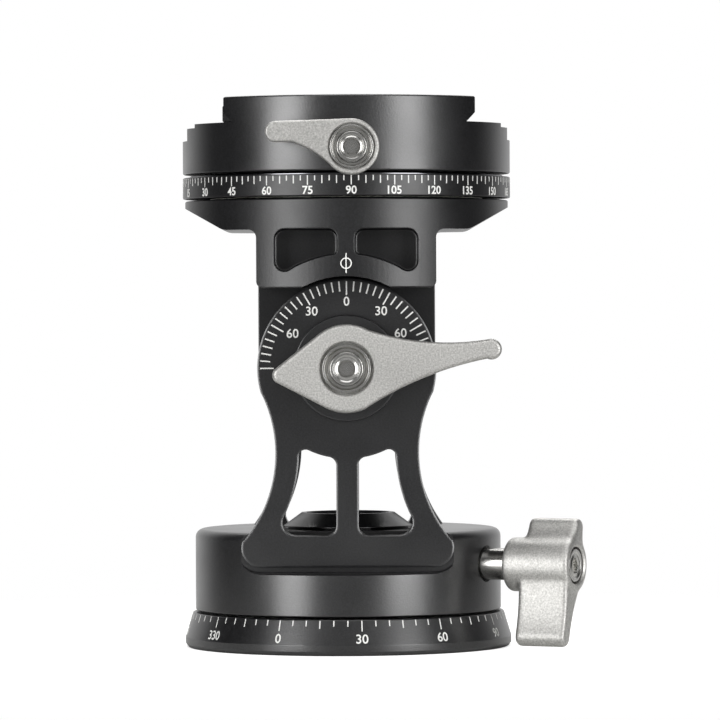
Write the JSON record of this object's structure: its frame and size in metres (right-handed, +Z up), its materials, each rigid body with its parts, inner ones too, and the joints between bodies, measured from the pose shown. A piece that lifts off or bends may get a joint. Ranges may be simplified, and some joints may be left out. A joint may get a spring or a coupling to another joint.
{
  "type": "pan tilt head",
  "caption": "Two way pan and tilt head: milled yoke with windows on a panning base, tilt block on one bolt, and a panning dovetail clamp with a sliding jaw",
  "frame": {"origin": "on the lower pan axis, at the centre of the bottom face", "axes": "+Z up the pan axis, -Y towards the levers and the tilt scale, +X to the right seen from the front; the tilt axis runs along Y"},
  "size_m": [0.0726, 0.0698, 0.1],
  "materials": {
    "black_anodised": "fine matt black anodising",
    "silver_anodised": "fine bead blasted, clear anodised",
    "steel": "bright turned steel",
    "dark_steel": "blackened steel",
    "bronze": "bearing bronze",
    "brass": "turned brass",
    "slide_polymer": "pale sliding polymer",
    "friction_fibre": "brown friction fibre"
  },
  "bodies": {
    "base": {"base_plate": "black_anodised", "tripod_insert": "steel", "pan_thrust_washer": "slide_polymer", "pan_upper_washer": "bronze", "pan_retaining_nut": "dark_steel"},
    "pan_yoke": {"yoke": "black_anodised", "hub_cap": "black_anodised", "tilt_bolt": "dark_steel", "friction_disc_front": "friction_fibre", "friction_disc_rear": "friction_fibre"},
    "pan_lock": {"pan_lock_shoe": "brass"},
    "pan_lock_knob": {"pan_knob": "silver_anodised", "pan_knob_stud": "steel", "pan_knob_screw": "dark_steel"},
    "tilt_press": {"tilt_boss": "black_anodised"},
    "tilt_lock_lever": {"tilt_lever": "silver_anodised", "tilt_lever_nut": "steel", "tilt_lever_washer": "steel", "tilt_lever_screw": "steel"},
    "tilt_head": {"tilt_block": "black_anodised", "tilt_bush": "bronze", "centre_washer": "bronze", "centre_screw": "dark_steel"},
    "top_lock": {"top_lock_shoe": "brass"},
    "top_lock_knob": {"top_lock_screw": "silver_anodised"},
    "top_pan": {"dial_ring": "black_anodised", "top_bearing_ring": "slide_polymer", "clamp_shim": "steel", "clamp_body": "black_anodised", "fixing_screw_right": "dark_steel", "fixing_screw_left": "dark_steel"},
    "jaw": {"rear_jaw": "black_anodised", "jaw_pin_right": "steel", "jaw_pin_left": "steel", "jaw_nut": "brass"},
    "clamp_lock_lever": {"clamp_lever": "silver_anodised", "clamp_rod": "steel", "clamp_lever_washer": "steel", "clamp_lever_screw": "steel"}
  },
  "joints": [
    {"name": "base_pan", "type": "hinge", "parent": "base", "child": "pan_yoke", "pos_m": [0, 0, 0.0066], "axis": [0, 0, 1], "continuous": true},
    {"name": "pan_shoe_slide", "type": "slide", "parent": "pan_yoke", "child": "pan_lock", "axis": [0.8988, -0.4384, 0], "range_m": [0, 0.001]},
    {"name": "pan_knob_turn", "type": "hinge", "parent": "pan_lock", "child": "pan_lock_knob", "pos_m": [0.03056, -0.0149, 0.0155], "axis": [0.8988, -0.4384, 0], "range_deg": [0, 360]},
    {"name": "tilt_press_slide", "type": "slide", "parent": "pan_yoke", "child": "tilt_press", "axis": [0, -1, 0], "range_m": [0, 0.0003125]},
    {"name": "tilt_lever_turn", "type": "hinge", "parent": "tilt_press", "child": "tilt_lock_lever", "pos_m": [0, -0.0273, 0.0512], "axis": [0, -1, 0], "range_deg": [0, 90]},
    {"name": "tilt", "type": "hinge", "parent": "pan_yoke", "child": "tilt_head", "pos_m": [0, 0, 0.0512], "axis": [0, 1, 0], "range_deg": [-90, 90]},
    {"name": "top_shoe_slide", "type": "slide", "parent": "tilt_head", "child": "top_lock", "axis": [0, 1, 0], "range_m": [0, 0.0005]},
    {"name": "top_lock_turn", "type": "hinge", "parent": "top_lock", "child": "top_lock_knob", "pos_m": [0, 0.03, 0.0776], "axis": [0, 1, 0], "range_deg": [0, 360]},
    {"name": "top_pan_turn", "type": "hinge", "parent": "tilt_head", "child": "top_pan", "pos_m": [0, 0, 0.0818], "axis": [0, 0, 1], "continuous": true},
    {"name": "jaw_slide", "type": "slide", "parent": "top_pan", "child": "jaw", "axis": [0.0332, -0.9995, 0], "range_m": [0, 0.0045]},
    {"name": "clamp_lever_turn", "type": "hinge", "parent": "top_pan", "child": "clamp_lock_lever", "pos_m": [0.001, -0.02998, 0.0906], "axis": [0.0332, -0.9995, 0], "range_deg": [0, 270]}
  ],
  "couplings": [
    {"joint": "pan_knob_turn", "follows": "pan_shoe_slide", "rad_per_m": 6283},
    {"joint": "tilt_lever_turn", "follows": "tilt_press_slide", "rad_per_m": 5026},
    {"joint": "top_lock_turn", "follows": "top_shoe_slide", "rad_per_m": 12566},
    {"joint": "clamp_lever_turn", "follows": "jaw_slide", "rad_per_m": 1047}
  ]
}
